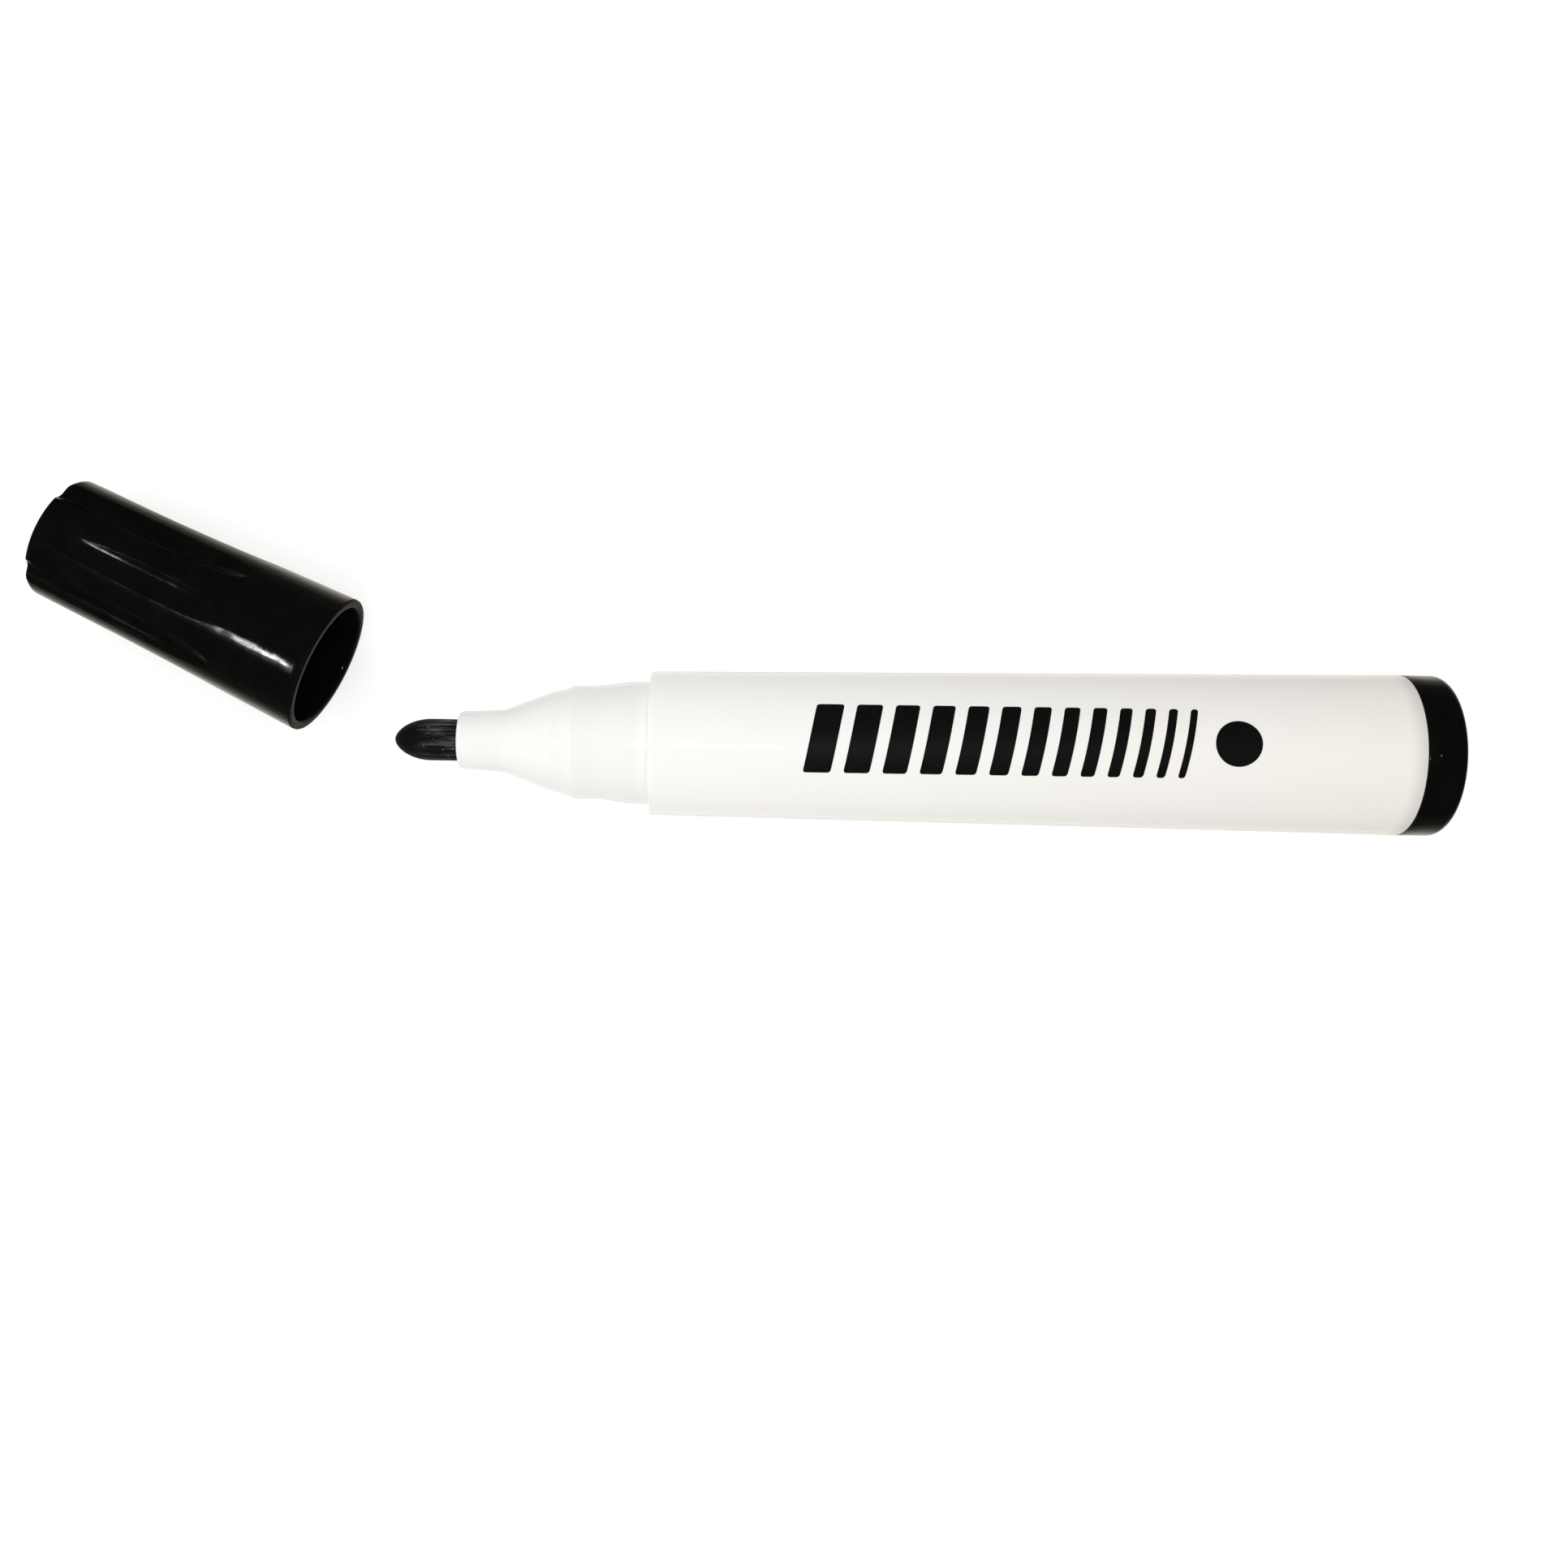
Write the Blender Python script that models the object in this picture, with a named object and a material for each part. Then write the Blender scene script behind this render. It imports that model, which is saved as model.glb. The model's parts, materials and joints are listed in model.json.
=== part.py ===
"""Felt tip marker with its cap off, lying on its side.

Metres, +Z up, +X from the nib towards the end plug. The origin is at the middle of the
bounding box, at table height. Every turned piece is drawn as a half profile of (station,
radius) pairs in millimetres. Marker stations run from the barrel's front shoulder, with the nib
at negative stations. Cap stations run from the cap's mouth to its closed end.
"""

import math

import bmesh
import bpy
import numpy as np
from mathutils import Matrix, Vector

MM = 0.001

# Barrel
BARREL_LEN = 76.9
BARREL_FRONT_R = 7.45
BARREL_REAR_R = 8.25
BARREL_WALL = 1.15
SPIGOT_LEN = 8.0

# Neck, nib and their seats
NECK_LAND_R = 6.315
SLEEVE_TIP = -19.85
NIB_TIP = -26.6
NIB_R = 2.15
NIB_TAIL = 9.0

# Ink reservoir
WICK_R = 5.55
WICK_FROM = 2.6
WICK_TO = 68.4
FILM_T = 0.35

# End plug
PLUG_LEN = 4.25
PLUG_SPIGOT = 8.5

# Cap
CAP_LEN = 31.25
CAP_MOUTH_R = 7.44
CAP_END_R = 6.48
CAP_FLOOR = 2.2
FLUTES = 8
FLUTE_FROM = 9.4
DEEP_FLUTE = 0.95
SHALLOW_FLUTE = 0.42

# How the cap lies beside the marker
CAP_YAW = math.radians(24.85)
CAP_MOUTH_X = -33.64
CAP_MOUTH_Y = 7.50

GAP = 0.06          # radial play in the press fits that only serve to keep bodies apart
SEG = 48            # sides of the round pieces
HIDDEN_SEG = 36     # sides of the pieces inside
FLUTE_SEG = 80      # ten to each flute


def clear_scene():
    for obj in list(bpy.data.objects):
        bpy.data.objects.remove(obj, do_unlink=True)


def material(name, colour, roughness, metallic=0.0):
    mat = bpy.data.materials.new(name)
    mat.use_nodes = True
    bsdf = mat.node_tree.nodes["Principled BSDF"]
    bsdf.inputs["Base Color"].default_value = (*colour, 1.0)
    bsdf.inputs["Roughness"].default_value = roughness
    bsdf.inputs["Metallic"].default_value = metallic
    return mat


def arc(cx, cr, rad, start, stop, steps):
    """Points of a round corner in the (station, radius) plane, angles in degrees."""
    return [(cx + rad * math.cos(math.radians(a)), cr + rad * math.sin(math.radians(a)))
            for a in np.linspace(start, stop, steps)]


def on_line(a, b, station):
    """Radius at a station on the straight line through two (station, radius) points."""
    t = (station - a[0]) / (b[0] - a[0])
    return a[1] + t * (b[1] - a[1])


def turned(name, profile, mat, segments=SEG, radius_at=None):
    """A body of revolution about X from a closed half profile given in mm.

    The profile runs round the section once. A point at radius 0 becomes a single pole.
    radius_at(station, radius, angle) can reshape the rings, as the cap's flutes need.
    """
    bm = bmesh.new()
    rings = []
    for station, radius in profile:
        if radius < 1e-6:
            rings.append([bm.verts.new((station * MM, 0.0, 0.0))])
            continue
        ring = []
        for i in range(segments):
            ang = 2.0 * math.pi * i / segments
            r = radius_at(station, radius, ang) if radius_at else radius
            ring.append(bm.verts.new((station * MM, r * math.sin(ang) * MM, r * math.cos(ang) * MM)))
        rings.append(ring)
    for k, ring in enumerate(rings):
        nxt = rings[(k + 1) % len(rings)]
        if len(ring) == 1 and len(nxt) == 1:
            continue
        for i in range(segments):
            j = (i + 1) % segments
            if len(ring) == 1:
                bm.faces.new((ring[0], nxt[i], nxt[j]))
            elif len(nxt) == 1:
                bm.faces.new((ring[i], nxt[0], ring[j]))
            else:
                bm.faces.new((ring[i], nxt[i], nxt[j], ring[j]))
    bmesh.ops.recalc_face_normals(bm, faces=bm.faces)
    mesh = bpy.data.meshes.new(name)
    bm.to_mesh(mesh)
    bm.free()
    mesh.shade_smooth()
    mesh.set_sharp_from_angle(angle=math.radians(32.0))
    obj = bpy.data.objects.new(name, mesh)
    obj.data.materials.append(mat)
    bpy.context.scene.collection.objects.link(obj)
    return obj


def barrel_r(station):
    return on_line((0.0, BARREL_FRONT_R), (BARREL_LEN, BARREL_REAR_R), station)


# ---------------------------------------------------------------- marker pieces

def make_barrel(mat):
    inner_front = BARREL_FRONT_R - BARREL_WALL
    inner_rear = BARREL_REAR_R - BARREL_WALL
    rim = 0.3
    outer = arc(rim, barrel_r(rim) - rim, rim, 180.0, 92.0, 4)
    outer += [(25.0, barrel_r(25.0)), (52.0, barrel_r(52.0))]
    outer += [(BARREL_LEN - 0.1, barrel_r(BARREL_LEN - 0.1)), (BARREL_LEN, BARREL_REAR_R - 0.1)]
    inner = [(BARREL_LEN, inner_rear), (40.0, on_line((0.0, inner_front), (BARREL_LEN, inner_rear), 40.0)),
             (0.0, inner_front)]
    return turned("barrel", outer + inner, mat)


def make_front_section(mat):
    bore = NIB_R + 0.1
    spigot_r = BARREL_FRONT_R - BARREL_WALL - GAP
    edge = 0.4
    outer = [(SLEEVE_TIP, bore + 0.25)]
    outer += arc(SLEEVE_TIP + edge, 3.0 - edge, edge, 180.0, 92.0, 4)
    outer += [(-15.1, 3.24), (-9.95, 5.22)]                             # nib sleeve, then the cone
    outer += [(-9.2, 5.34)]                                             # land that the cap seals on
    outer += [(-8.6, 5.54), (-7.85, 5.85)]                              # curved step
    outer += [(-4.95, 5.9), (-2.2, NECK_LAND_R)]                        # land, then the taper
    outer += [(-GAP, NECK_LAND_R)]
    outer += [(-GAP, spigot_r), (SPIGOT_LEN - 0.12, spigot_r), (SPIGOT_LEN, spigot_r - 0.12)]
    # The cup behind the neck is open to the barrel, so ink fumes and air can pass round the wick.
    inner = [(SPIGOT_LEN, 5.98), (WICK_FROM - 1.4, 5.98), (-1.2, 5.15), (-7.6, 4.6), (-14.4, bore)]
    inner += [(SLEEVE_TIP + 0.25, bore)]
    return turned("front_section", outer + inner, mat)


def make_nib(mat):
    nose_from = -22.8
    length = nose_from - NIB_TIP
    nose = [(NIB_TIP, 0.0)]
    for t in (0.02, 0.09, 0.22, 0.42, 0.7, 1.0):
        nose.append((NIB_TIP + t * length, NIB_R * (1.0 - (1.0 - t) ** 2.0) ** 0.58))
    tail = [(-8.0, NIB_R), (NIB_TAIL - 1.2, NIB_R), (NIB_TAIL, 1.25), (NIB_TAIL, 0.0)]
    return turned("nib", nose + tail, mat, HIDDEN_SEG)


def make_reservoir(mat):
    hole = NIB_R + 0.1
    section = [(WICK_FROM, hole), (WICK_FROM, WICK_R - 0.2), (WICK_FROM + 0.2, WICK_R), (35.0, WICK_R),
               (WICK_TO - 0.2, WICK_R), (WICK_TO, WICK_R - 0.2), (WICK_TO, 0.0), (NIB_TAIL + 1.0, 0.0),
               (NIB_TAIL + 0.6, hole)]
    return turned("ink_reservoir", section, mat, HIDDEN_SEG)


def make_film(mat):
    r_in = WICK_R + 0.03
    r_out = r_in + FILM_T
    lap = 0.6
    section = [(WICK_FROM + lap, r_in), (WICK_FROM + lap, r_out), (35.0, r_out), (WICK_TO - lap, r_out),
               (WICK_TO - lap, r_in), (35.0, r_in)]
    return turned("reservoir_film", section, mat, HIDDEN_SEG)


def make_end_plug(mat):
    front = BARREL_LEN + GAP
    end = BARREL_LEN + PLUG_LEN
    spigot_r = BARREL_REAR_R - BARREL_WALL - 0.012 * PLUG_SPIGOT - GAP
    edge = 1.2
    outer = [(front, spigot_r), (front, BARREL_REAR_R - 0.12), (front + 0.12, BARREL_REAR_R)]
    outer += arc(end - edge, BARREL_REAR_R - edge, edge, 88.0, 0.0, 5)
    outer += [(end, 4.0), (end, 0.0)]
    inner = [(end - 1.3, 0.0), (end - 1.3, 4.0), (front, spigot_r - 1.1), (front - PLUG_SPIGOT, spigot_r - 1.1),
             (front - PLUG_SPIGOT, spigot_r - 0.35), (front - PLUG_SPIGOT + 0.5, spigot_r)]
    return turned("end_plug", outer + inner, mat)


# ---------------------------------------------------------------- cap pieces

def cap_envelope(station):
    """Outer radius of the cap before the flutes: a draft that eases off towards the closed end."""
    knots = ((0.0, CAP_MOUTH_R + 0.03), (6.0, 7.24), (12.0, 7.02), (20.0, 6.76), (26.0, 6.62), (CAP_LEN, CAP_END_R))
    xs = [k[0] for k in knots]
    rs = [k[1] for k in knots]
    return float(np.interp(station, xs, rs))


def flute_depth(station, deep):
    """Depth of a flute at a station. Each one starts as a scoop and runs on to the closed end."""
    full, start, run = (DEEP_FLUTE, FLUTE_FROM, 8.0) if deep else (SHALLOW_FLUTE, FLUTE_FROM + 0.2, 6.0)
    t = (station - start) / run
    if t <= 0.0:
        return 0.0
    depth = full * (1.0 - (1.0 - min(t, 1.0)) ** 2)
    if not deep:
        depth *= min(1.0, max(0.0, (CAP_LEN - 0.7 - station) / 1.2)) ** 0.5
    return depth


def fluted(station, radius, angle):
    """Cut round-bottomed flutes into the cap's outer skin; the bore is left alone."""
    skin = cap_envelope(station)
    if radius < skin - 1.25 or station < FLUTE_FROM:
        return radius
    pitch = 2.0 * math.pi / FLUTES
    k = round(angle / pitch)
    deep = k % 2 == 1
    depth = flute_depth(station, deep)
    if depth <= 0.0:
        return radius
    # A flute is a round channel: it is as wide as its depth lets the channel's circle open.
    half_full = 1.38
    full = DEEP_FLUTE if deep else SHALLOW_FLUTE
    channel_r = (half_full ** 2 + full ** 2) / (2.0 * full)
    across = skin * math.sin(angle - k * pitch)
    inside = channel_r ** 2 - across ** 2
    if inside <= 0.0:
        return radius
    floor_r = skin + channel_r - depth - math.sqrt(inside)
    return min(radius, floor_r)


def make_cap_shell(mat):
    lip = 0.3
    edge = 0.8
    outer = [(0.0, 6.86), (0.0, CAP_MOUTH_R - lip * 0.6)]
    outer += [(0.12, CAP_MOUTH_R - 0.04), (0.35, CAP_MOUTH_R)]
    stations = [6.0, 9.4, 10.1, 11.0, 12.2, 13.8, 15.8, 18.6, 26.0, 29.0]
    outer += [(s, cap_envelope(s)) for s in stations]
    r_end = cap_envelope(CAP_LEN - edge)
    outer += arc(CAP_LEN - edge, r_end - edge, edge, 88.0, 0.0, 5)
    outer += [(CAP_LEN, 0.0)]
    floor = CAP_LEN - CAP_FLOOR
    inner = [(floor, 0.0), (floor, 4.44), (14.2, 5.0), (14.1, 5.78), (8.7, 5.84),
             (8.5, 6.12), (5.6, 6.16), (3.1, 6.4), (2.6, 6.44), (1.0, 6.46)]
    return turned("cap_shell", outer + inner, mat, FLUTE_SEG, fluted)


def make_cap_liner(mat):
    """Soft inner sleeve: a seal lip for the nozzle's land, then a blind tube round the nib."""
    outer = [(8.85, 5.52), (8.85, 5.70), (13.95, 5.70), (14.0, 4.92), (27.4, 4.42), (28.3, 4.34), (28.3, 0.0)]
    inner = [(27.6, 0.0), (27.6, 3.8), (27.2, 3.9), (15.0, 4.35), (14.6, 4.5), (11.2, 5.12), (10.6, 5.30),
             (9.95, 5.36), (9.3, 5.42)]
    return turned("cap_liner", outer + inner, mat, SEG)


# ---------------------------------------------------------------- placing

def rest_on_table(radius_a, radius_b, run):
    """Pitch that brings two rims of different radius, run apart along the axis, onto one plane."""
    return math.asin((radius_b - radius_a) / math.hypot(run, radius_b - radius_a))


def lowest(objs, matrix):
    return min((matrix @ v.co).z for o in objs for v in o.data.vertices)


def marker_matrix(objs):
    """The marker lies on its barrel: the rear is thicker, so the nib end dips."""
    pitch = math.atan((BARREL_REAR_R - BARREL_FRONT_R) / BARREL_LEN)
    m = Matrix.Rotation(-pitch, 4, "Y")
    m = Matrix.Translation((0.0, 0.0, BARREL_FRONT_R / math.cos(pitch) * MM)) @ m
    m.translation.z -= lowest(objs, m)
    return m


def cap_rest_matrix(objs):
    """Cap frame: +X out of the closed end. It lies on its mouth rim and its closed end."""
    def placed(pitch):
        turn = Matrix.Rotation(math.pi - CAP_YAW, 4, "Z") @ Matrix.Rotation(pitch, 4, "Y")
        m = Matrix.Translation((CAP_MOUTH_X * MM, CAP_MOUTH_Y * MM, 0.0)) @ turn
        return m

    coords = [v.co.copy() for o in objs for v in o.data.vertices]
    front = [c for c in coords if c.x < 5.0 * MM]
    back = [c for c in coords if c.x > 24.0 * MM]
    low, high = 0.0, math.radians(6.0)
    for _ in range(40):
        mid = 0.5 * (low + high)
        m = placed(mid)
        if min((m @ c).z for c in front) < min((m @ c).z for c in back):
            low = mid
        else:
            high = mid
    m = placed(0.5 * (low + high))
    m.translation.z -= lowest(objs, m)
    return m


def cap_seat_matrix(marker, roll):
    """The cap pushed home: mouth at the barrel's shoulder, on the marker's axis."""
    return marker @ Matrix.Rotation(math.pi, 4, "Z") @ Matrix.Rotation(roll, 4, "X") \
        @ Matrix.Translation((0.1 * MM, 0.0, 0.0))


def swing(rest, seat):
    """Axis point, direction, angle and axial shift of the screw motion from rest to seat."""
    move = seat @ rest.inverted()
    axis, angle = move.to_quaternion().to_axis_angle()
    if axis.z < 0.0:
        axis, angle = -axis, -angle
    shift = move.translation
    along = shift.dot(axis)
    flat = shift - along * axis
    # Point on the axis nearest the world origin: half the chord plus the lever to the centre.
    point = 0.5 * (flat + axis.cross(flat) / math.tan(0.5 * angle))
    return point, axis, angle, along


def find_roll(rest, marker):
    """Roll of the seated cap that makes the way there a pure turn, with no shift along its axis."""
    low, high = math.radians(-12.0), math.radians(12.0)
    f_low = swing(rest, cap_seat_matrix(marker, low))[3]
    for _ in range(60):
        mid = 0.5 * (low + high)
        f_mid = swing(rest, cap_seat_matrix(marker, mid))[3]
        if (f_mid > 0.0) == (f_low > 0.0):
            low, f_low = mid, f_mid
        else:
            high = mid
    return 0.5 * (low + high)


def bake(objs, matrix):
    for obj in objs:
        obj.data.transform(matrix)


def main():
    clear_scene()
    white = material("white plastic", (0.9, 0.9, 0.88), 0.28)
    black = material("black plastic", (0.012, 0.012, 0.012), 0.18)
    felt = material("black felt", (0.02, 0.02, 0.024), 0.9)
    wick = material("white fibre", (0.75, 0.75, 0.74), 0.95)
    film = material("clear film", (0.8, 0.82, 0.84), 0.3)
    soft = material("natural plastic", (0.72, 0.72, 0.7), 0.4)

    marker_parts = [make_barrel(white), make_front_section(white), make_nib(felt), make_reservoir(wick),
                    make_film(film), make_end_plug(black)]
    cap_parts = [make_cap_shell(black), make_cap_liner(soft)]

    marker = marker_matrix(marker_parts[:2])
    rest = cap_rest_matrix(cap_parts[:1])
    roll = find_roll(rest, marker)
    seat = cap_seat_matrix(marker, roll)

    # Shift everything so that the origin is the middle of the box, at table height.
    pts = [marker @ v.co for o in marker_parts for v in o.data.vertices]
    pts += [rest @ v.co for o in cap_parts for v in o.data.vertices]
    mid_x = 0.5 * (min(p.x for p in pts) + max(p.x for p in pts))
    mid_y = 0.5 * (min(p.y for p in pts) + max(p.y for p in pts))
    to_origin = Matrix.Translation((-mid_x, -mid_y, 0.0))
    marker, rest, seat = to_origin @ marker, to_origin @ rest, to_origin @ seat

    bake(marker_parts, marker)
    point, axis, angle, _ = swing(rest, seat)
    # The hinge point at the height of the seated cap's mouth.
    point = point + axis * ((seat.translation.z - point.z) / axis.z)

    pivot = bpy.data.objects.new("cap_pivot", None)
    pivot.empty_display_size = 0.01
    pivot.location = point
    pivot.rotation_mode = "QUATERNION"
    pivot.rotation_quaternion = Vector((0.0, 0.0, 1.0)).rotation_difference(axis)
    bpy.context.scene.collection.objects.link(pivot)
    bpy.context.view_layer.update()
    for obj in cap_parts:
        obj.parent = pivot
        obj.matrix_parent_inverse = Matrix.Identity(4)
        bake([obj], pivot.matrix_world.inverted() @ rest)
    bpy.context.view_layer.update()


main()
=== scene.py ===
"""Felt tip marker with its cap off: the detailed surfaces, materials, light and camera."""

import json
import math

import bmesh
import bpy
from mathutils import Matrix, Vector, noise


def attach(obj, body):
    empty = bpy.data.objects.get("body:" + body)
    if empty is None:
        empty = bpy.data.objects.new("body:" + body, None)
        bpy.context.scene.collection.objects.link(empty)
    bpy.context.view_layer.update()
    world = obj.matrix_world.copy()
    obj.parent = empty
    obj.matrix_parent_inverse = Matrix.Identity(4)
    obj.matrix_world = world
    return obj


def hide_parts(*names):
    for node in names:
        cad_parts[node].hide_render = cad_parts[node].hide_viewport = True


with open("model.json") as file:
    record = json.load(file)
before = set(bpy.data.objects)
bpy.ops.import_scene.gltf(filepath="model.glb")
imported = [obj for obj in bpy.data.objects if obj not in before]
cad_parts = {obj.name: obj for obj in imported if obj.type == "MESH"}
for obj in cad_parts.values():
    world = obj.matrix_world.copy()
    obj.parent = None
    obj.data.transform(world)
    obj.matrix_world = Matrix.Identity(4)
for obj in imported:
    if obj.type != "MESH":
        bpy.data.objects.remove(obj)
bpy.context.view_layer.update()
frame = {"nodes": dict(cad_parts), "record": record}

# Sizes are in millimetres. Stations run back from the barrel's shoulder, or from the cap's mouth.
MM = 0.001
BARREL_LEN, BARREL_FRONT_R, BARREL_REAR_R = 76.9, 7.45, 8.25
BARREL_WALL = 1.15
RING_STEP = 0.16
PLUG_LEN = 4.25
SEAM = 0.06
SLEEVE_TIP, NIB_TIP, NIB_R = -19.85, -26.6, 2.15
CAP_LEN, CAP_MOUTH_R, CAP_END_R, CAP_FLOOR = 31.25, 7.44, 6.48, 2.2
FLUTES, FLUTE_FROM, FLUTE_HALF = 8, 9.4, 1.38
DEEP_FLUTE, SHALLOW_FLUTE = 0.95, 0.42
PITCH = 2.0 * math.pi / FLUTES


# ------------------------------------------------------------------ frames of the two bodies

def frame_from(mount, length):
    """Frame whose X is the mount's axis, whose Y is level, and whose origin is length mm inside it."""
    pos, axis = Vector(mount["pos_m"]), Vector(mount["axis"]).normalized()
    side = Vector((0.0, 0.0, 1.0)).cross(axis).normalized()
    up = axis.cross(side)
    m = Matrix((axis, side, up)).transposed().to_4x4()
    m.translation = pos - axis * length * MM
    return m


mounts = {m["name"]: m for m in frame["record"]["mounts"]}
MARKER = frame_from(mounts["end_plug_face"], BARREL_LEN + PLUG_LEN)
CAP = frame_from(mounts["cap_end_face"], CAP_LEN)


# ------------------------------------------------------------------ geometry helpers

def arc(cx, cr, rad, start, stop, steps):
    """Points of an arc round (station, radius), from start to stop degrees."""
    out = []
    for i in range(steps):
        a = math.radians(start + (stop - start) * i / (steps - 1))
        out.append((cx + rad * math.cos(a), cr + rad * math.sin(a)))
    return out


def smooth_table(knots, x):
    """Catmull-Rom through the knots, so a profile has no kinks."""
    if x <= knots[0][0]:
        return knots[0][1]
    if x >= knots[-1][0]:
        return knots[-1][1]
    for i in range(len(knots) - 1):
        x0, y0 = knots[i]
        x1, y1 = knots[i + 1]
        if x0 <= x <= x1:
            xa, ya = knots[i - 1] if i else (2 * x0 - x1, 2 * y0 - y1)
            xb, yb = knots[i + 2] if i + 2 < len(knots) else (2 * x1 - x0, 2 * y1 - y0)
            m0 = (y1 - ya) / (x1 - xa) * (x1 - x0)
            m1 = (yb - y0) / (xb - x0) * (x1 - x0)
            t = (x - x0) / (x1 - x0)
            return ((2 * t ** 3 - 3 * t ** 2 + 1) * y0 + (t ** 3 - 2 * t ** 2 + t) * m0
                    + (-2 * t ** 3 + 3 * t ** 2) * y1 + (t ** 3 - t ** 2) * m1)
    return knots[-1][1]


def new_object(name, bm, mat, body, sharp):
    """Turn a bmesh into a piece that rides on a body; sharp is the angle of the edges left hard."""
    bmesh.ops.recalc_face_normals(bm, faces=bm.faces)
    mesh = bpy.data.meshes.new(name)
    bm.to_mesh(mesh)
    bm.free()
    mesh.shade_smooth()
    mesh.set_sharp_from_angle(angle=math.radians(sharp))
    obj = bpy.data.objects.new(name, mesh)
    obj.data.materials.append(mat)
    bpy.context.scene.collection.objects.link(obj)
    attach(obj, body)
    return obj


def turned(name, profile, place, angles, mat, body, shape=None, sharp=35.0):
    """A closed turned skin: profile is (station, radius) in mm, once round the section."""
    bm = bmesh.new()
    rings = []
    for station, radius in profile:
        if radius < 1e-6:
            rings.append([bm.verts.new(place @ Vector((station * MM, 0.0, 0.0)))])
            continue
        ring = []
        for a in angles:
            s, r = shape(station, radius, a) if shape else (station, radius)
            ring.append(bm.verts.new(place @ Vector((s * MM, r * math.sin(a) * MM, r * math.cos(a) * MM))))
        rings.append(ring)
    n = len(angles)
    for k, ring in enumerate(rings):
        nxt = rings[(k + 1) % len(rings)]
        if len(ring) == 1 and len(nxt) == 1:
            continue
        for i in range(n):
            j = (i + 1) % n
            if len(ring) == 1:
                bm.faces.new((ring[0], nxt[i], nxt[j]))
            elif len(nxt) == 1:
                bm.faces.new((ring[i], nxt[0], ring[j]))
            else:
                bm.faces.new((ring[i], nxt[i], nxt[j], ring[j]))
    return new_object(name, bm, mat, body, sharp)


def even(count):
    """Angles of evenly spread columns."""
    return [2.0 * math.pi * i / count for i in range(count)]


def barrel_r(station):
    return BARREL_FRONT_R + (BARREL_REAR_R - BARREL_FRONT_R) * station / BARREL_LEN


# ------------------------------------------------------------------ materials

class Nodes:
    """Small helper round a material's node tree."""

    def __init__(self, name):
        self.mat = bpy.data.materials.new(name)
        self.mat.use_nodes = True
        self.tree = self.mat.node_tree
        self.bsdf = self.tree.nodes["Principled BSDF"]
        self.coord = self.add("ShaderNodeTexCoord").outputs["Object"]

    def add(self, kind, **props):
        node = self.tree.nodes.new(kind)
        for key, value in props.items():
            setattr(node, key, value)
        return node

    def link(self, a, b):
        self.tree.links.new(a, b)

    def put(self, socket, value):
        if isinstance(value, bpy.types.NodeSocket):
            self.link(value, socket)
        else:
            socket.default_value = value

    def local(self, matrix, scale=(1.0, 1.0, 1.0)):
        """Coordinates in a body's own frame in metres, each axis scaled."""
        inv = matrix.inverted()
        spin = inv.to_euler("XYZ")
        moved = self.add("ShaderNodeMapping", vector_type="POINT")
        self.link(self.coord, moved.inputs["Vector"])
        moved.inputs["Rotation"].default_value = spin
        moved.inputs["Location"].default_value = inv.translation
        out = self.add("ShaderNodeMapping", vector_type="POINT")
        self.link(moved.outputs["Vector"], out.inputs["Vector"])
        out.inputs["Scale"].default_value = scale
        return out.outputs["Vector"]

    def noise(self, vector, scale, detail=2.0, rough=0.5):
        node = self.add("ShaderNodeTexNoise")
        self.link(vector, node.inputs["Vector"])
        node.inputs["Scale"].default_value = scale
        node.inputs["Detail"].default_value = detail
        node.inputs["Roughness"].default_value = rough
        return node.outputs["Fac"]

    def ramp(self, value, low, high, to_low=0.0, to_high=1.0, smooth=True):
        node = self.add("ShaderNodeMapRange", interpolation_type="SMOOTHSTEP" if smooth else "LINEAR")
        self.put(node.inputs["Value"], value)
        for key, v in (("From Min", low), ("From Max", high), ("To Min", to_low), ("To Max", to_high)):
            node.inputs[key].default_value = v
        return node.outputs["Result"]

    def math(self, op, a, b=0.0):
        node = self.add("ShaderNodeMath", operation=op)
        self.put(node.inputs[0], a)
        self.put(node.inputs[1], b)
        return node.outputs[0]

    def mix(self, fac, a, b):
        node = self.add("ShaderNodeMix", data_type="RGBA")
        self.put(node.inputs[0], fac)
        for socket, v in ((node.inputs[6], a), (node.inputs[7], b)):
            self.put(socket, (*v, 1.0) if isinstance(v, tuple) and len(v) == 3 else v)
        return node.outputs[2]

    def specks(self, vector, scale, size, share):
        """Sparse round specks: 1 inside a speck. share is the part of the cells that has one."""
        node = self.add("ShaderNodeTexVoronoi", feature="F1")
        self.link(vector, node.inputs["Vector"])
        node.inputs["Scale"].default_value = scale
        near = self.ramp(node.outputs["Distance"], size, size * 0.55)
        pick = self.add("ShaderNodeSeparateColor")
        self.link(node.outputs["Color"], pick.inputs[0])
        chosen = self.math("GREATER_THAN", pick.outputs[0], 1.0 - share)
        return self.math("MULTIPLY", near, chosen)

    def axis(self, vector, index):
        node = self.add("ShaderNodeSeparateXYZ")
        self.link(vector, node.inputs[0])
        return node.outputs[index]

    def bump(self, height, distance, strength=1.0, normal=None):
        node = self.add("ShaderNodeBump")
        self.link(height, node.inputs["Height"])
        node.inputs["Distance"].default_value = distance
        node.inputs["Strength"].default_value = strength
        if normal is not None:
            self.link(normal, node.inputs["Normal"])
        return node.outputs["Normal"]

    def finish(self, colour, roughness, normal=None, **plain):
        self.put(self.bsdf.inputs["Base Color"], colour)
        self.put(self.bsdf.inputs["Roughness"], roughness)
        if normal is not None:
            self.link(normal, self.bsdf.inputs["Normal"])
        for key, value in plain.items():
            self.bsdf.inputs[key.replace("_", " ")].default_value = value
        return self.mat


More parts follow.
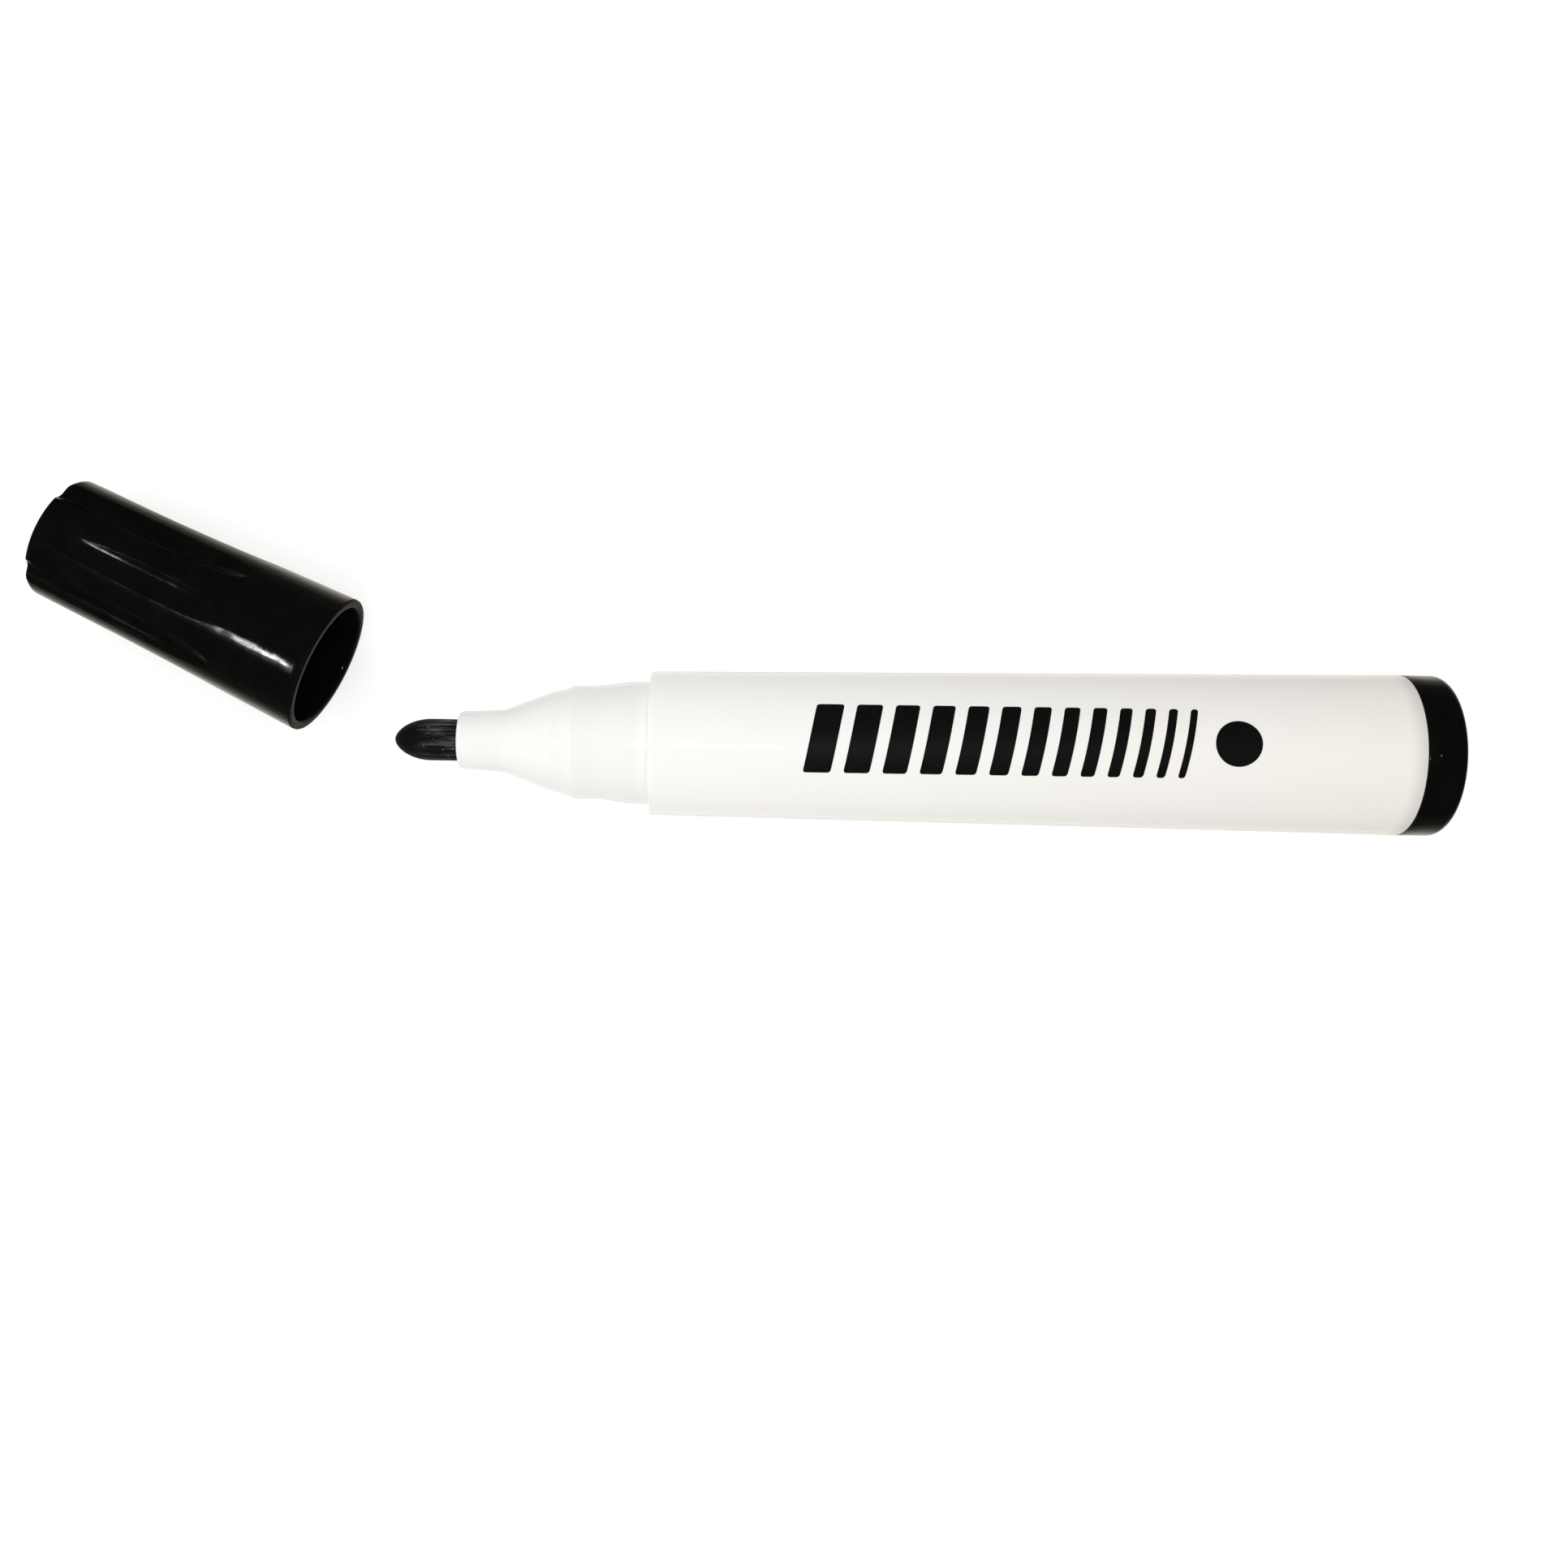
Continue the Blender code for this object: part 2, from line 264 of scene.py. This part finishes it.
def white_plastic(name, front, dark_at=None):
    """Glossy white moulding: faint cloudiness, a few specks, and drift to a warmer, darker white towards
    the rear, whose darkening is painted shade.

    Over the last 1.9 mm before the station dark_at, the black piece beside it shows through.
    """
    n = Nodes(name)
    here = n.local(MARKER)
    x = n.axis(here, 0)
    cloud = n.noise(here, 320.0, 3.0, 0.55)
    rear, cloudy = (0.838, 0.812, 0.764), (0.78, 0.775, 0.75)
    shaded, brown = (0.40, 0.39, 0.37), (0.30, 0.27, 0.23)
    # Towards the rear the white turns warmer and darker: the warm tint is the plastic's own, the darkening
    # is painted shade.
    warmer_and_shaded = n.ramp(x, 0.004, 0.080, smooth=False)
    base = n.mix(warmer_and_shaded, front, rear)
    base = n.mix(n.ramp(cloud, 0.35, 0.7, 0.0, 0.05), base, cloudy)
    if dark_at is not None:
        behind = n.ramp(x, (dark_at - 1.9) * MM, dark_at * MM, 0.0, 0.34)
        base = n.mix(behind, base, shaded)
    dirt = n.specks(here, 210.0, 0.028, 0.16)
    base = n.mix(n.math("MULTIPLY", dirt, 0.55), base, brown)
    flow = n.local(MARKER, (60.0, 900.0, 900.0))
    lines = n.noise(flow, 1.0, 2.0, 0.5)
    skin = n.noise(here, 1500.0, 2.0, 0.5)
    wave = n.noise(here, 300.0, 1.0, 0.4)
    normal = n.bump(wave, 0.000022)
    normal = n.bump(lines, 0.000004, 0.35, normal)
    normal = n.bump(skin, 0.000004, 0.35, normal)
    return n.finish(base, 0.09, normal, IOR=1.49)


def black_plastic(name, place, dust, dull=False):
    """Glossy black moulding with a wavy skin, hairline rubs and some dust, or the same rubbed dull."""
    n = Nodes(name)
    here = n.local(place)
    cloud = n.noise(here, 420.0, 3.0, 0.6)
    black, worn, grey = (0.0026, 0.0027, 0.0024), (0.0038, 0.0038, 0.0035), (0.20, 0.19, 0.18)
    base = n.mix(n.ramp(cloud, 0.35, 0.7), black, worn)
    motes = n.specks(here, 420.0, 0.045, dust)
    base = n.mix(n.math("MULTIPLY", motes, 0.6), base, grey)
    rub = n.noise(n.local(place, (90.0, 2600.0, 2600.0)), 1.0, 4.0, 0.65)
    gloss = n.ramp(cloud, 0.3, 0.75, 0.085, 0.115)
    rough = n.math("ADD", gloss, n.ramp(rub, 0.60, 0.78, 0.0, 0.05))
    rough = n.math("ADD", rough, n.math("MULTIPLY", motes, 0.4))
    if dull:
        rough = n.math("ADD", rough, 0.4)
    wave = n.noise(here, 470.0, 1.0, 0.4)
    peel = n.noise(here, 1700.0, 1.0, 0.5)
    normal = n.bump(wave, 0.000030)
    normal = n.bump(peel, 0.0000025, 1.0, normal)
    return n.finish(base, rough, normal, IOR=1.5, Specular_IOR_Level=0.13 if dull else 0.5)


def felt_material():
    """Pressed fibre: soaked and dark at the point, drier grey-blue fibres towards the sleeve."""
    n = Nodes("black felt")
    here = n.local(MARKER)
    x = n.axis(here, 0)
    strands = n.noise(n.local(MARKER, (190.0, 2900.0, 2900.0)), 1.0, 4.0, 0.68)
    broad = n.noise(n.local(MARKER, (120.0, 900.0, 900.0)), 1.0, 2.0, 0.5)
    dry = n.ramp(n.math("ADD", x, n.math("MULTIPLY", broad, 0.0022)), -0.0236, -0.0207)
    worn = n.noise(n.local(MARKER, (420.0, 1100.0, 1100.0)), 1.0, 2.0, 0.5)
    dry = n.math("MULTIPLY", dry, n.ramp(worn, 0.36, 0.62, 0.25, 1.0))
    light = n.math("MULTIPLY", n.ramp(strands, 0.42, 0.80), dry)
    soaked, faded, pale = (0.0022, 0.0022, 0.0022), (0.125, 0.127, 0.135), (0.36, 0.36, 0.39)
    colour = n.mix(light, soaked, faded)
    flecks = n.specks(n.local(MARKER, (0.55, 1.0, 1.0)), 3600.0, 0.22, 0.30)
    flecks = n.math("MULTIPLY", flecks, dry)
    colour = n.mix(n.math("MULTIPLY", flecks, 0.8), colour, pale)
    rough = n.ramp(dry, 0.0, 1.0, 0.55, 0.9)
    normal = n.bump(strands, 0.00006, 0.8)
    return n.finish(colour, rough, normal, Specular_IOR_Level=0.15, Sheen_Weight=0.04)


def ink_material():
    """Matt black ink with a fine grain."""
    n = Nodes("printed ink")
    here = n.local(MARKER)
    grain = n.noise(here, 2600.0, 3.0, 0.6)
    colour = n.mix(grain, (0.0018, 0.0018, 0.0018), (0.0050, 0.0050, 0.0049))
    rough = n.ramp(grain, 0.3, 0.7, 0.34, 0.46)
    return n.finish(colour, rough, n.bump(grain, 0.000006, 0.5))


def liner_material():
    """The satin black of the cap's inner sleeve."""
    n = Nodes("black sleeve")
    here = n.local(CAP)
    grain = n.noise(here, 900.0, 3.0, 0.6)
    colour = n.mix(grain, (0.012, 0.012, 0.0118), (0.026, 0.026, 0.0255))
    return n.finish(colour, n.ramp(grain, 0.3, 0.7, 0.48, 0.6), n.bump(grain, 0.00001, 0.4))


def wick_material(name, pale):
    """Lengthwise fibres, for the hidden wick and its film."""
    n = Nodes(name)
    strands = n.noise(n.local(MARKER, (90.0, 1900.0, 1900.0)), 1.0, 4.0, 0.65)
    dark = tuple(c * 0.55 for c in pale)
    colour = n.mix(strands, dark, pale)
    rough = n.ramp(strands, 0.3, 0.7, 0.55, 0.9)
    return n.finish(colour, rough, n.bump(strands, 0.0001, 0.7))


# ------------------------------------------------------------------ marker pieces

def build_barrel(mat):
    inner_f, inner_r = BARREL_FRONT_R - BARREL_WALL, BARREL_REAR_R - BARREL_WALL
    rim = 0.32
    middle = 40.0
    outer = arc(rim, barrel_r(rim) - rim, rim, 180.0, 90.6, 9)
    outer += [(s, barrel_r(s)) for s in (2.0, 6.0, 12.0, 20.0, 30.0, 42.0, 54.0, 64.0, 72.0, 75.5)]
    chamfer = BARREL_LEN - 0.12
    outer += [(chamfer, barrel_r(chamfer)), (BARREL_LEN - 0.035, BARREL_REAR_R - 0.03)]
    outer += [(BARREL_LEN, BARREL_REAR_R - 0.12)]
    inner = [(BARREL_LEN, inner_r), (middle, inner_f + (inner_r - inner_f) * middle / BARREL_LEN)]
    inner += [(0.0, inner_f)]
    obj = turned("barrel_skin", outer + inner, MARKER, even(160), mat, "marker")
    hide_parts("barrel")


# The stepped outline of the neck: sleeve, first cone, step, collar, second cone, collar.
NECK = ((-19.35, 3.0), (-17.2, 3.12), (-15.3, 3.23), (-15.1, 3.26), (-14.9, 3.33),
        (-12.4, 4.28), (-10.1, 5.17), (-9.97, 5.21), (-9.8, 5.24), (-9.3, 5.32),
        (-9.15, 5.36), (-8.8, 5.46), (-8.4, 5.63), (-8.1, 5.77), (-7.87, 5.84),
        (-7.6, 5.855), (-5.2, 5.895), (-5.0, 5.905), (-4.8, 5.93), (-2.45, 6.275),
        (-2.2, 6.305), (-1.95, 6.314), (-SEAM, 6.318))


def build_neck(mat):
    bore = NIB_R + 0.1
    edge = 0.42
    outer = [(SLEEVE_TIP + 0.1, bore + 0.02), (SLEEVE_TIP, bore + 0.14), (SLEEVE_TIP, bore + 0.25)]
    outer += arc(SLEEVE_TIP + edge, 2.985 - edge, edge, 180.0, 92.0, 9)
    outer += list(NECK)
    spigot = BARREL_FRONT_R - BARREL_WALL - SEAM
    outer += [(-SEAM, spigot), (7.88, spigot), (8.0, spigot - 0.12)]
    inner = [(8.0, 5.98), (1.2, 5.98), (-1.2, 5.15), (-7.6, 4.6), (-14.4, bore)]
    obj = turned("neck_skin", outer + inner, MARKER, even(144), mat, "marker", sharp=50.0)
    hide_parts("front_section")


def build_nib(mat):
    nose_from = -22.8
    length = nose_from - NIB_TIP
    steps = 24
    profile = [(NIB_TIP, 0.0)]
    for i in range(1, steps + 1):
        # Rings crowd towards the point.
        t = (i / steps) ** 1.8
        profile.append((NIB_TIP + t * length, NIB_R * (1.0 - (1.0 - t) ** 2.0) ** 0.58))
    s = nose_from
    while s < SLEEVE_TIP + 0.4:
        s += RING_STEP
        profile.append((s, NIB_R))
    profile += [(-8.0, NIB_R), (7.8, NIB_R), (9.0, 1.25), (9.0, 0.0)]

    def fibres(station, radius, a):
        """Fine ridges along the rod, which fade out at its point and inside the sleeve."""
        if station > -15.0:
            return station, radius
        spot = Vector((station * 0.35, math.sin(a) * 9.0, math.cos(a) * 9.0))
        tuft = noise.noise(spot)
        soft = min(1.0, (station - NIB_TIP) / 1.2)
        return station, radius * (1.0 + 0.011 * soft * tuft)

    obj = turned("nib_felt", profile, MARKER, even(128), mat, "marker", fibres, 60.0)
    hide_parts("nib")


def build_plug(mat):
    front, end = BARREL_LEN + SEAM, BARREL_LEN + PLUG_LEN
    spigot_len, taper = 8.5, 0.012
    spigot = BARREL_REAR_R - BARREL_WALL - taper * spigot_len - SEAM
    edge = 1.2
    gate = end - 0.25
    outer = [(front, spigot), (front, BARREL_REAR_R - 0.13), (front + 0.035, BARREL_REAR_R - 0.035)]
    outer += [(front + 0.13, BARREL_REAR_R), (front + 1.4, BARREL_REAR_R)]
    outer += arc(end - edge, BARREL_REAR_R - edge, edge, 90.0, 0.0, 16)
    # The end face, with the small dimple that the moulding gate leaves at its centre.
    outer += [(end, 6.6), (end, 1.1), (end - 0.03, 0.98), (end - 0.22, 0.86), (gate, 0.7), (gate, 0.0)]
    inner = [(end - 1.3, 0.0), (end - 1.3, 4.0), (front, spigot - 1.1)]
    inner += [(front - spigot_len, spigot - 1.1), (front - spigot_len, spigot - 0.35)]
    inner += [(front - 8.0, spigot)]
    obj = turned("plug_skin", outer + inner, MARKER, even(160), mat, "marker")
    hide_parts("end_plug")


# ------------------------------------------------------------------ the print: slanted bars, thick to thin

PRINT_FROM, PRINT_TO, PRINT_HALF = 15.5, 60.7, 3.55
PRINT_TURN = math.radians(5.0)
BARS, WIDEST, THINNEST, SLANT = 13, 2.75, 0.7, math.radians(11.0)
FILM = 0.02


def on_barrel(station, across, lift):
    """Point on the barrel's skin: across is the arc length in mm, towards -Y from the print's centre."""
    r = barrel_r(station)
    a = PRINT_TURN - across / r
    return MARKER @ Vector((station * MM, (r + lift) * math.sin(a) * MM, (r + lift) * math.cos(a) * MM))


def patch(bm, outline_at, rows, cols):
    """A thin closed film. outline_at(v) gives (low end, high end) of row v as (station, across) pairs."""
    top, low = [], []
    for i in range(rows + 1):
        (s0, a0), (s1, a1) = outline_at(i / rows)
        pts = [(s0 + (s1 - s0) * j / cols, a0 + (a1 - a0) * j / cols) for j in range(cols + 1)]
        top.append([bm.verts.new(on_barrel(s, a, FILM)) for s, a in pts])
        low.append([bm.verts.new(on_barrel(s, a, -FILM)) for s, a in pts])
    for i in range(rows):
        for j in range(cols):
            bm.faces.new((top[i][j], top[i][j + 1], top[i + 1][j + 1], top[i + 1][j]))
            bm.faces.new((low[i][j], low[i + 1][j], low[i + 1][j + 1], low[i][j + 1]))
    for i in range(rows):
        for j in (0, cols):
            bm.faces.new((top[i][j], top[i + 1][j], low[i + 1][j], low[i][j]))
    for j in range(cols):
        for i in (0, rows):
            bm.faces.new((top[i][j], top[i][j + 1], low[i][j + 1], low[i][j]))


def build_print(mat):
    bm = bmesh.new()
    slant = math.tan(SLANT)
    widths = [WIDEST - (WIDEST - THINNEST) * i / (BARS - 1) for i in range(BARS)]
    dot, before_dot = 2.3, 1.5
    room = PRINT_TO - PRINT_FROM - 2.0 * dot - before_dot - 2.0 * PRINT_HALF * slant
    gap = (room - sum(widths)) / (BARS - 1)
    left = PRINT_FROM + PRINT_HALF * slant
    for w in widths:
        mid = left + 0.5 * w

        def row(v, mid=mid, w=w):
            t = -1.0 + 2.0 * v
            across = t * PRINT_HALF
            # Corners are rounded by narrowing the last 0.3 mm.
            back = min(0.3, 0.45 * w)
            end = max(0.0, abs(across) - (PRINT_HALF - back)) / back
            half = 0.5 * w - back * (1.0 - math.sqrt(max(0.0, 1.0 - end * end)))
            centre = mid - across * slant
            return (centre - half, across), (centre + half, across)

        def spaced(v, row=row):
            # Rows crowd towards both ends, where the corners are.
            return row(0.5 - 0.5 * math.cos(math.pi * v))

        patch(bm, spaced, 28, 6)
        left += w + gap
    centre = PRINT_TO - dot

    def disc(v):
        t = -math.cos(math.pi * (0.002 + 0.996 * v))
        half = dot * math.sqrt(max(0.0, 1.0 - t * t))
        return (centre - half, t * dot), (centre + half, t * dot)

    patch(bm, disc, 32, 12)
    # The bars take the dull black ink.
    new_object("print_bars", bm, mat, "marker", 40.0)


# ------------------------------------------------------------------ cap pieces

# The cap's outline without its flutes.
ENVELOPE = ((0.0, CAP_MOUTH_R + 0.03), (6.0, 7.24), (12.0, 7.02), (20.0, 6.76), (26.0, 6.62),
            (CAP_LEN, CAP_END_R))
CAP_EDGE = 0.8


def flute_depth(station, deep):
    """Depth of a flute's floor under the skin; negative where the flute hasn't begun."""
    full, start, run = (DEEP_FLUTE, FLUTE_FROM, 8.0) if deep else (SHALLOW_FLUTE, FLUTE_FROM + 0.2, 6.0)
    t = (station - start) / run
    if t <= 0.0:
        return -0.25 * min(1.0, -t * 2.0)
    depth = full * (1.0 - (1.0 - min(t, 1.0)) ** 2)
    if not deep:
        # The shallow ones run out gently before the closed end.
        fade_from, fade_len = 18.5, 10.0
        gone = min(1.0, max(0.0, (station - fade_from) / fade_len))
        depth *= 1.0 - gone * gone
    return depth


def flute_cut(station, skin, angle):
    """How far the flutes sink the skin: channels whose shoulders are slightly eased."""
    k = round(angle / PITCH)
    deep = k % 2 == 1
    depth = flute_depth(station, deep)
    full = DEEP_FLUTE if deep else SHALLOW_FLUTE
    channel = (FLUTE_HALF ** 2 + full ** 2) / (2.0 * full)
    across = abs(skin * math.sin(angle - k * PITCH))
    inside = channel ** 2 - across ** 2
    if not deep:
        # Nearly flat-bottomed, with tight corners along both sides.
        raw = depth - full * (across / FLUTE_HALF) ** 3
    elif inside > 0.0:
        raw = depth - channel + math.sqrt(inside)
    else:
        raw = depth - channel - 2.0 * (across - channel)
    ease = 0.05
    cut = 0.5 * (raw + math.sqrt(raw * raw + ease * ease))
    return cut if cut > 0.004 else 0.0


def build_cap(mat, mouth_mat):
    rim_from = CAP_LEN - CAP_EDGE
    skin_end = smooth_table(ENVELOPE, rim_from)
    outer = [(0.6, 6.47), (0.25, 6.50), (0.08, 6.58), (0.0, 6.72), (0.0, CAP_MOUTH_R - 0.2)]
    outer += [(0.03, CAP_MOUTH_R - 0.1), (0.12, CAP_MOUTH_R - 0.03), (0.3, CAP_MOUTH_R)]
    stations = [1.0, 2.5, 4.0, 6.0, 7.4, 8.4, 8.9]
    s = 9.1
    while s < 18.2:
        stations.append(round(s, 3))
        s += RING_STEP
    stations += [18.6, 19.4, 20.5, 22.0, 24.0, 26.0, 27.6, 28.4, 28.9, 29.2, 29.5, 29.8, 30.1]
    outer += [(st, smooth_table(ENVELOPE, st)) for st in stations]
    outer += arc(rim_from, skin_end - CAP_EDGE, CAP_EDGE, 88.0, 0.0, 14)
    # The end face, with its gate dimple.
    gate = CAP_LEN - 0.2
    outer += [(CAP_LEN, 5.3), (CAP_LEN, 4.9), (CAP_LEN, 4.0), (CAP_LEN, 0.95), (CAP_LEN - 0.03, 0.85)]
    outer += [(CAP_LEN - 0.18, 0.75), (gate, 0.6), (gate, 0.0)]
    floor = CAP_LEN - CAP_FLOOR
    # The bore, from its floor to the mouth, with the step that the inner sleeve sits in.
    inner = [(floor, 0.0), (floor, 4.44), (14.2, 5.0), (14.1, 5.78), (8.7, 5.84), (8.5, 6.12)]
    inner += [(5.6, 6.16), (3.1, 6.4), (2.6, 6.44), (1.6, 6.46)]

    def shape(station, radius, a):
        if station < FLUTE_FROM - 0.5 or radius < 4.6:
            return station, radius
        skin = smooth_table(ENVELOPE, min(station, rim_from))
        if radius < skin - CAP_EDGE - 0.9:
            return station, radius
        # Only points outside the channel's floor are brought down onto it.
        cut = flute_cut(station, skin, a)
        return station, min(radius, skin - cut)

    # Columns crowd into the flutes and thin out on the lands between them.
    angles = []
    inside, in_flute, on_land = math.radians(14.5), 30, 7
    for k in range(FLUTES):
        for i in range(in_flute):
            angles.append(k * PITCH + inside * (-1.0 + 2.0 * i / in_flute))
        for i in range(on_land):
            angles.append(k * PITCH + inside + (PITCH - 2.0 * inside) * i / on_land)
    obj = turned("cap_skin", outer + inner, CAP, angles, mat, "cap", shape, 48.0)
    # The edge of the mouth is rubbed dull where it slides over the neck.
    obj.data.materials.append(mouth_mat)
    rubbed = 0.28 * MM
    to_cap = CAP.inverted()
    for face in obj.data.polygons:
        if (to_cap @ face.center).x < rubbed:
            face.material_index = 1
    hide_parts("cap_shell")


def build_liner(mat):
    outer = [(8.95, 5.48), (8.87, 5.51), (8.85, 5.56), (8.85, 5.64), (8.91, 5.70), (13.95, 5.70)]
    outer += [(14.0, 4.92), (27.4, 4.42), (28.3, 4.34), (28.3, 0.0)]
    inner = [(27.6, 0.0), (27.6, 3.8), (27.2, 3.9), (15.0, 4.35), (14.6, 4.5), (11.2, 5.12)]
    inner += [(10.6, 5.30), (9.95, 5.36), (9.3, 5.42)]
    obj = turned("liner_skin", outer + inner, CAP, even(128), mat, "cap")
    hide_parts("cap_liner")


# ------------------------------------------------------------------ assemble

build_barrel(white_plastic("white barrel plastic", (0.908, 0.898, 0.878), BARREL_LEN))
build_neck(white_plastic("white neck plastic", (0.872, 0.864, 0.846)))
build_nib(felt_material())
build_plug(black_plastic("black plug plastic", MARKER, 0.25))
build_print(ink_material())
build_cap(black_plastic("black cap plastic", CAP, 0.05),
          black_plastic("dull cap mouth", CAP, 0.05, True))
build_liner(liner_material())

for node, mat in (("ink_reservoir", wick_material("soaked wick", (0.10, 0.10, 0.115))),
                  ("reservoir_film", wick_material("wrapping film", (0.72, 0.73, 0.74)))):
    mesh = frame["nodes"][node].data
    mesh.materials.clear()
    mesh.materials.append(mat)


# ------------------------------------------------------------------ floor, light and camera

def build_floor():
    bpy.ops.mesh.primitive_plane_add(size=4.0, location=(0.0, 0.0, -0.02 * MM))
    floor = bpy.context.object
    floor.name = "floor"
    n = Nodes("pale floor")
    n.finish((0.50, 0.50, 0.495, 1.0), 0.9, Emission_Color=(1.0, 1.0, 0.99, 1.0), Emission_Strength=0.62)
    floor.data.materials.append(n.mat)
    floor.visible_glossy = False


def area_light(name, location, target, size, power, glossy=False, diffuse=True, along=None,
               colour=(1.0, 1.0, 1.0)):
    """A rectangle facing target; size is (length, width), and along points down its length."""
    data = bpy.data.lights.new(name, "AREA")
    data.shape = "RECTANGLE"
    data.size, data.size_y = size
    data.energy = power
    data.color = colour
    back = (Vector(location) - Vector(target)).normalized()
    across = back.cross(Vector(along or (1.0, 0.0, 0.0))).normalized()
    obj = bpy.data.objects.new(name, data)
    obj.matrix_world = Matrix((across.cross(back), across, back)).transposed().to_4x4()
    obj.location = location
    obj.visible_glossy = glossy
    obj.visible_diffuse = diffuse
    obj.visible_camera = False
    bpy.context.scene.collection.objects.link(obj)
    return data


def build_world():
    """What glossy skins mirror: a dark room above, and a bright warm table close underneath."""
    world = bpy.data.worlds.new("room")
    bpy.context.scene.world = world
    world.use_nodes = True
    tree = world.node_tree
    tree.nodes.clear()
    add = tree.nodes.new
    coord, split, span = add("ShaderNodeTexCoord"), add("ShaderNodeSeparateXYZ"), add("ShaderNodeMapRange")
    ramp = add("ShaderNodeValToRGB")
    tree.links.new(coord.outputs["Generated"], split.inputs[0])
    tree.links.new(split.outputs["Z"], span.inputs["Value"])
    span.inputs["From Min"].default_value = -1.0
    tree.links.new(span.outputs["Result"], ramp.inputs["Fac"])
    stops = ramp.color_ramp.elements
    stops[0].position, stops[0].color = 0.0, (0.80, 0.77, 0.70, 1.0)
    stops[1].position, stops[1].color = 1.0, (0.006, 0.006, 0.007, 1.0)
    for place, colour in ((0.09, (0.85, 0.80, 0.71, 1.0)), (0.20, (0.26, 0.24, 0.21, 1.0)),
                          (0.30, (0.05, 0.048, 0.042, 1.0)), (0.50, (0.010, 0.010, 0.010, 1.0))):
        stops.new(place).color = colour
    room, backdrop = add("ShaderNodeBackground"), add("ShaderNodeBackground")
    tree.links.new(ramp.outputs["Color"], room.inputs["Color"])
    backdrop.inputs["Color"].default_value = (0.95, 0.95, 0.95, 1.0)
    path, mix, out = add("ShaderNodeLightPath"), add("ShaderNodeMixShader"), add("ShaderNodeOutputWorld")
    tree.links.new(path.outputs["Is Camera Ray"], mix.inputs[0])
    tree.links.new(room.outputs[0], mix.inputs[1])
    tree.links.new(backdrop.outputs[0], mix.inputs[2])
    tree.links.new(mix.outputs[0], out.inputs[0])


build_floor()
build_world()
MIDDLE = (0.0, 0.0, 0.0)
area_light("overhead softbox", (-0.04, -0.02, 0.75), MIDDLE, (1.1, 1.1), 5.95)
area_light("back softbox", (-0.19, 0.40, 0.28), MIDDLE, (0.6, 0.3), 1.14)
area_light("front softbox", (-0.22, -0.40, 0.28), MIDDLE, (0.6, 0.3), 1.26)
area_light("left softbox", (-0.75, -0.1, 0.4), MIDDLE, (0.5, 0.5), 0.9)
area_light("right softbox", (0.75, -0.1, 0.4), MIDDLE, (0.5, 0.5), 1.2, colour=(1.0, 0.97, 0.92))

# The lamps that draw the streaks on the cap, placed by the way they lie from it: ahead is along the
# cap's axis towards its closed end, and beside is level and square to that.
BY_CAP = CAP @ Vector((0.006, 0.0, 0.007))
AHEAD, BESIDE, OVER = (CAP.to_3x3().col[i] for i in range(3))
LAMP_FAR = 0.65


def soften(data):
    """Fade a lamp from its middle to nothing at its rim."""
    data.use_nodes = True
    tree = data.node_tree
    spot = tree.nodes.new("ShaderNodeNewGeometry").outputs["Parametric"]
    off = tree.nodes.new("ShaderNodeVectorMath")
    off.operation = "DISTANCE"
    tree.links.new(spot, off.inputs[0])
    off.inputs[1].default_value = (0.5, 0.5, 0.0)
    fade = tree.nodes.new("ShaderNodeMapRange")
    fade.interpolation_type = "SMOOTHSTEP"
    tree.links.new(off.outputs["Value"], fade.inputs["Value"])
    for key, value in (("From Min", 0.5), ("From Max", 0.05), ("To Min", 0.0), ("To Max", 1.0)):
        fade.inputs[key].default_value = value
    tree.links.new(fade.outputs["Result"], tree.nodes["Emission"].inputs["Strength"])


def lamp(name, ahead, beside, size, radiance, colour=(1.0, 1.0, 1.0)):
    """A soft-edged lamp that only glossy skins mirror."""
    way = AHEAD * ahead + BESIDE * beside + OVER * math.sqrt(1.0 - ahead ** 2 - beside ** 2)
    power = radiance * math.pi * size[0] * size[1]
    soften(area_light(name, BY_CAP + way * LAMP_FAR, BY_CAP, size, power, True, False, BESIDE, colour))


lamp("tube near", 0.370, 0.404, (0.060, 0.030), 90.0)
lamp("tube middle", 0.386, 0.348, (0.030, 0.026), 80.0)
lamp("tube far", 0.402, 0.304, (0.020, 0.020), 60.0)
lamp("tube glow", 0.350, 0.470, (0.19, 0.090), 2.0, (0.80, 0.92, 1.0))
# A small ceiling lamp that only glossy skins mirror, aimed at the barrel's shoulder.
shoulder = MARKER.translation
area_light("ceiling lamp", (shoulder.x - 0.05, shoulder.y - 0.07, 0.9), tuple(shoulder), (0.08, 0.016),
           0.16, True, False)

# The camera looks straight down from just above the shoulder.
camera = bpy.data.cameras.new("camera")
camera.sensor_width = 36.0
camera.lens = 36.74
camera.shift_x = 0.0342
camera.dof.use_dof = False
camera.clip_start = 0.005
eye = bpy.data.objects.new("camera", camera)
eye.location = (shoulder.x + 0.0083, shoulder.y - 0.0041, 0.1735)
eye.rotation_euler = (0.0, 0.0, math.radians(0.95))
bpy.context.scene.collection.objects.link(eye)
bpy.context.scene.camera = eye
bpy.context.scene.view_settings.view_transform = "Standard"
